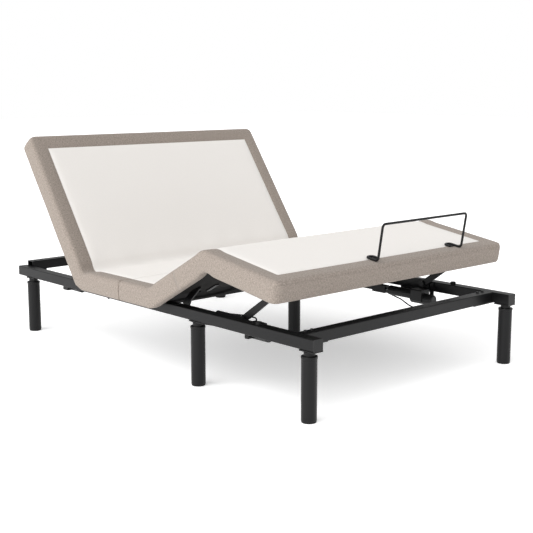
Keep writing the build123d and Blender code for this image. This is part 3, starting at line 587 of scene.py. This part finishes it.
head_end_x = HEAD_PIVOT.x - HEAD_LENGTH
head_panel = (head_end_x + BORDER, NO_END)
head_rows = list(rounded_end(-head_end_x, 1, 0.021, LOW, 9))
head_rows = [(-along, inset, LOW + inset) for along, inset, _ in reversed(head_rows)]
wall_x = head_end_x + HEAD_WALL
head_rows += [(head_rows[-1][0] + 0.003 * i, 0.0, LOW) for i in range(1, 4)]
head_rows.append((wall_x, 0.0, LOW))
for x in stations(wall_x + 0.0008, SEAM_X - 0.0075, [HEAD_PIVOT.x], [head_panel[0]]):
    head_rows.append((x, 0.0, SLAB_LOW))
head_rows += [(along, inset, SLAB_LOW) for along, inset, _ in
              rounded_end(SEAM_X - SKIN_GAP, 1, 0.006, SLAB_LOW, 3)]
head_start = HEAD_PIVOT + Vector((FOLD, 0, 0))
head_stop = HEAD_PIVOT + FOLD * Vector((-cos(HEAD_ANGLE), 0, sin(HEAD_ANGLE)))
head_cover = loft_cover(
    "head_and_seat_cover", head_rows,
    lambda p: bent(p, HEAD_PIVOT, -HEAD_ANGLE, head_start, head_stop),
    head_panel, crease_wrinkles(HEAD_PIVOT.x - 0.02, 0.004, 0.13), end=head_end_x)
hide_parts("head_cushion", "seat_cushion_head_half")
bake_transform(head_cover)
print("head and seat cover", len(head_cover.data.vertices), "points")

# %% [markdown]
# ## Seat and thigh cover
# The second half of the seat and the first half of the thigh section share a skin over the
# thigh hinge. It stops in the middle of the thigh section, where the next skin takes over
# with the very same outline, because a skin can bend across one joint only.

# %% Seat and thigh cover
THIGH_MIDDLE = 0.2
thigh_start = THIGH_PIVOT - Vector((FOLD, 0, 0))
thigh_dir = Vector((cos(THIGH_ANGLE), 0, sin(THIGH_ANGLE)))
thigh_stop = THIGH_PIVOT + FOLD * thigh_dir
seat_rows = [(-along, inset, SLAB_LOW) for along, inset, _ in
             reversed(rounded_end(-(SEAM_X + 0.0014), 1, 0.006, SLAB_LOW, 3))]
for x in stations(SEAM_X + 0.009, THIGH_PIVOT.x + THIGH_MIDDLE, [THIGH_PIVOT.x]):
    seat_rows.append((x, 0.0, SLAB_LOW))
whole = (-NO_END, NO_END)
seat_cover = loft_cover(
    "seat_and_thigh_cover", seat_rows,
    lambda p: bent(p, THIGH_PIVOT, THIGH_ANGLE, thigh_start, thigh_stop),
    whole, crease_wrinkles(THIGH_PIVOT.x, 0.002, 0.07))
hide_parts("seat_cushion_foot_half", "thigh_cushion")
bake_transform(seat_cover)

# %% [markdown]
# ## Thigh and foot cover
# The last skin goes over the knee, where the cloth is stretched round the outside of the
# bend, and ends at the foot in a rounded edge.

# %% Thigh and foot cover
KNEE_FOLD = 0.06
knee_flat_x = THIGH_PIVOT.x + THIGH_LENGTH
foot_end_x = knee_flat_x + FOOT_LENGTH
foot_dir = Vector((cos(FOOT_ANGLE), 0, -sin(FOOT_ANGLE)))
knee_start = KNEE_PIVOT - KNEE_FOLD * thigh_dir
knee_stop = KNEE_PIVOT + KNEE_FOLD * foot_dir


def onto_thigh(p):
    """A point of the flat pattern, carried up onto the plane of the thigh section."""
    return THIGH_PIVOT + turned(p - THIGH_PIVOT, THIGH_ANGLE)


FOOT_WALL = 0.04             # thickness of the deeper edge at the foot end
FOOT_WALL_LOW = -0.046
foot_panel = (-NO_END, foot_end_x - BORDER)
foot_places = stations(THIGH_PIVOT.x + THIGH_MIDDLE, foot_end_x - FOOT_WALL - 0.0002,
                       [knee_flat_x], [foot_panel[1]])
foot_rows = [(x, 0.0, SLAB_LOW) for x in foot_places]
foot_rows += [(foot_end_x - FOOT_WALL + i * 0.004, 0.0, FOOT_WALL_LOW) for i in range(5)]
foot_rows += [(along, inset, FOOT_WALL_LOW) for along, inset, _ in
              rounded_end(foot_end_x, 1, 0.019, FOOT_WALL_LOW, 9)]
foot_cover = loft_cover(
    "thigh_and_foot_cover", foot_rows,
    lambda p: bent(onto_thigh(p), KNEE_PIVOT, -(THIGH_ANGLE + FOOT_ANGLE), knee_start, knee_stop),
    foot_panel, crease_wrinkles(knee_flat_x, 0.0008, 0.06), end=foot_end_x)
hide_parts("foot_cushion")
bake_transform(foot_cover)

# %% [markdown]
# ## Foot end panel
# The cloth at the foot end hangs deeper than the boards behind it. When the bed lies flat
# it is pushed up by the rails, so this panel is a piece of its own, carried by the foot section.

# %% Foot end panel
def section_point(s, y, d):
    """A point of the foot section in the raised bed."""
    up = Vector((sin(FOOT_ANGLE), 0, cos(FOOT_ANGLE)))
    return KNEE_PIVOT + s * foot_dir + d * up + Vector((0, y, 0))


s_end = FOOT_LENGTH
panel_outline = [
    (s_end - 0.004, 0.006), (s_end + 0.0008, 0.0055), (s_end + 0.0016, 0.003),
    (s_end + 0.0020, -0.020), (s_end + 0.0022, -0.040), (s_end + 0.0012, -0.054),
    (s_end - 0.0030, -0.0625), (s_end - 0.010, -0.0658), (s_end - 0.026, -0.0660),
    (s_end - 0.034, -0.0610), (s_end - 0.036, -0.0480), (s_end - 0.004, -0.0475),
]
mesh = bpy.data.meshes.new("foot_end_panel")
bm = bmesh.new()
uv_layer = bm.loops.layers.uv.new("pattern")
panel_rings = []
slices = 60
reach = HALF_WIDTH - 0.0100
for i in range(slices + 1):
    y = -reach * cos(pi * i / slices)
    beyond = max(0.0, abs(y) - (HALF_WIDTH - CORNER))
    pull = CORNER - (CORNER ** 2 - beyond ** 2) ** 0.5
    ring = []
    for s, d in panel_outline:
        ripple = 0.0007 * noise.noise(Vector((y * 5, d * 20, 1.3)))
        ring.append(bm.verts.new(section_point(s - pull + ripple, y, d)))
    panel_rings.append(ring)
for a, b in zip(panel_rings, panel_rings[1:]):
    for i in range(len(panel_outline)):
        j = (i + 1) % len(panel_outline)
        face = bm.faces.new((a[i], a[j], b[j], b[i]))
        face.smooth = True
        for loop in face.loops:
            loop[uv_layer].uv = (loop.vert.co.y, loop.vert.co.z)
for ring in (panel_rings[0], panel_rings[-1]):
    bm.faces.new(ring)
bmesh.ops.recalc_face_normals(bm, faces=bm.faces)
bm.to_mesh(mesh)
bm.free()
mesh.materials.append(taupe_linen)
foot_panel_piece = new_object("foot_end_panel", mesh)
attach(foot_panel_piece, "foot_section")
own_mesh(foot_panel_piece)
